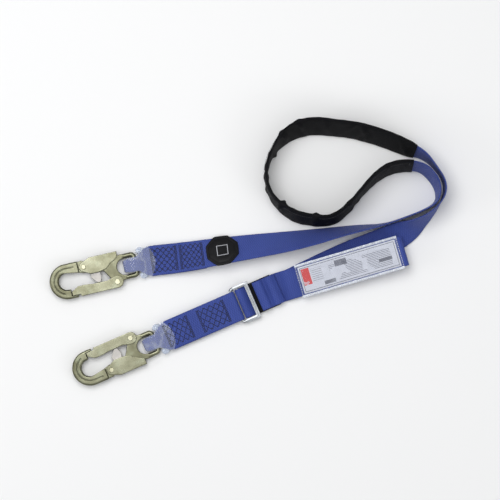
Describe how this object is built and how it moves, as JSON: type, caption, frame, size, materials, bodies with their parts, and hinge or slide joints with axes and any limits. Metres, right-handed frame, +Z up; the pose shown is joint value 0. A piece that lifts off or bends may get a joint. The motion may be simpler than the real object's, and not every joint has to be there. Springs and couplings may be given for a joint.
{
  "type": "shock absorbing lanyard",
  "caption": "Webbing fall-arrest lanyard with double-locking snap hooks, tear-webbing energy absorber in a clear cover, friction adjuster and abrasion sleeve on the long leg.",
  "frame": {"origin": "on the floor under the centre of the hardware and absorber, the loose leg left out", "axes": "+X from the hooks to the absorber, +Y towards the loose leg, +Z up from the floor"},
  "size_m": [0.581, 0.3946, 0.0517],
  "materials": {
    "webbing": "woven polyester webbing with ribbed face",
    "wear_sleeve": "tightly woven black tubular sleeve",
    "badge": "moulded disc, bare",
    "forged_steel": "yellow chromated zinc on forged steel",
    "stamped_steel": "yellow chromated zinc on stamped steel",
    "lock_steel": "dull grey zinc",
    "rivet_steel": "yellow chromated zinc",
    "spring_steel": "bright drawn wire",
    "clear_film": "clear heat-shrunk film",
    "adjuster_steel": "bright plated rod",
    "elastic": "black elastic keeper",
    "clear_cover": "clear flexible cover with stitched hems",
    "card": "printed card, without lettering"
  },
  "bodies": {
    "root": {"leg_webbing": "webbing", "wear_sleeve": "wear_sleeve", "badge": "badge", "tear_webbing": "webbing", "pack_cover": "clear_cover", "label_card": "card", "adjuster_strap": "webbing", "keeper_band": "elastic", "adjuster_frame": "adjuster_steel", "loop_sleeve_a": "clear_film"},
    "slide_bar": {"adjuster_bar": "adjuster_steel"},
    "hook_leg": {"hook_strap": "webbing", "loop_sleeve_b": "clear_film"},
    "hook_a": {"hook_body_a": "forged_steel", "gate_rivet_a": "rivet_steel", "lever_rivet_a": "rivet_steel", "gate_spring_a": "spring_steel", "lever_spring_a": "spring_steel"},
    "hook_b": {"hook_body_b": "forged_steel", "gate_rivet_b": "rivet_steel", "lever_rivet_b": "rivet_steel", "gate_spring_b": "spring_steel", "lever_spring_b": "spring_steel"},
    "gate_a": {"gate_a": "stamped_steel"},
    "gate_b": {"gate_b": "stamped_steel"},
    "lever_a": {"lock_lever_a": "stamped_steel", "lock_block_a": "lock_steel"},
    "lever_b": {"lock_lever_b": "stamped_steel", "lock_block_b": "lock_steel"}
  },
  "joints": [
    {"name": "hook_a_swing", "type": "hinge", "parent": "root", "child": "hook_a", "pos_m": [-0.1392, 0.0682, 0.0074], "axis": [0.225, -0.9744, 0], "range_deg": [-75, 75]},
    {"name": "hook_strap_swing", "type": "hinge", "parent": "root", "child": "hook_leg", "pos_m": [0.00901, 0.00648, 0.0082], "axis": [-0.3987, 0.9171, 0], "range_deg": [-60, 60]},
    {"name": "hook_b_swing", "type": "hinge", "parent": "hook_leg", "child": "hook_b", "pos_m": [-0.1103, -0.0454, 0.0074], "axis": [-0.3987, 0.9171, 0], "range_deg": [-75, 75]},
    {"name": "gate_a_open", "type": "hinge", "parent": "hook_a", "child": "gate_a", "pos_m": [-0.16511, 0.04262, 0.0074], "axis": [0, 0, -1], "range_deg": [0, 17], "stiffness_Nm_per_rad": 1, "springref_deg": -17.19},
    {"name": "lever_a_press", "type": "hinge", "parent": "hook_a", "child": "lever_a", "pos_m": [-0.2152, 0.064, 0.0074], "axis": [0, 0, -1], "range_deg": [0, 8], "stiffness_Nm_per_rad": 0.6, "springref_deg": -11.46, "deforming": ["lever_spring_a"]},
    {"name": "gate_b_open", "type": "hinge", "parent": "hook_b", "child": "gate_b", "pos_m": [-0.14634, -0.04025, 0.0074], "axis": [0, 0, 1], "range_deg": [0, 17], "stiffness_Nm_per_rad": 1, "springref_deg": -17.19},
    {"name": "lever_b_press", "type": "hinge", "parent": "hook_b", "child": "lever_b", "pos_m": [-0.1739, -0.08723, 0.0074], "axis": [0, 0, 1], "range_deg": [0, 8], "stiffness_Nm_per_rad": 0.6, "springref_deg": -11.46, "deforming": ["lever_spring_b"]},
    {"name": "adjuster_bar_slide", "type": "slide", "parent": "root", "child": "slide_bar", "axis": [0.9171, 0.3987, 0], "range_m": [0, 0.0012]}
  ],
  "couplings": [
    {"joint": "lever_a_press", "follows": "gate_a_open", "ratio": 0.47},
    {"joint": "lever_b_press", "follows": "gate_b_open", "ratio": 0.47}
  ]
}
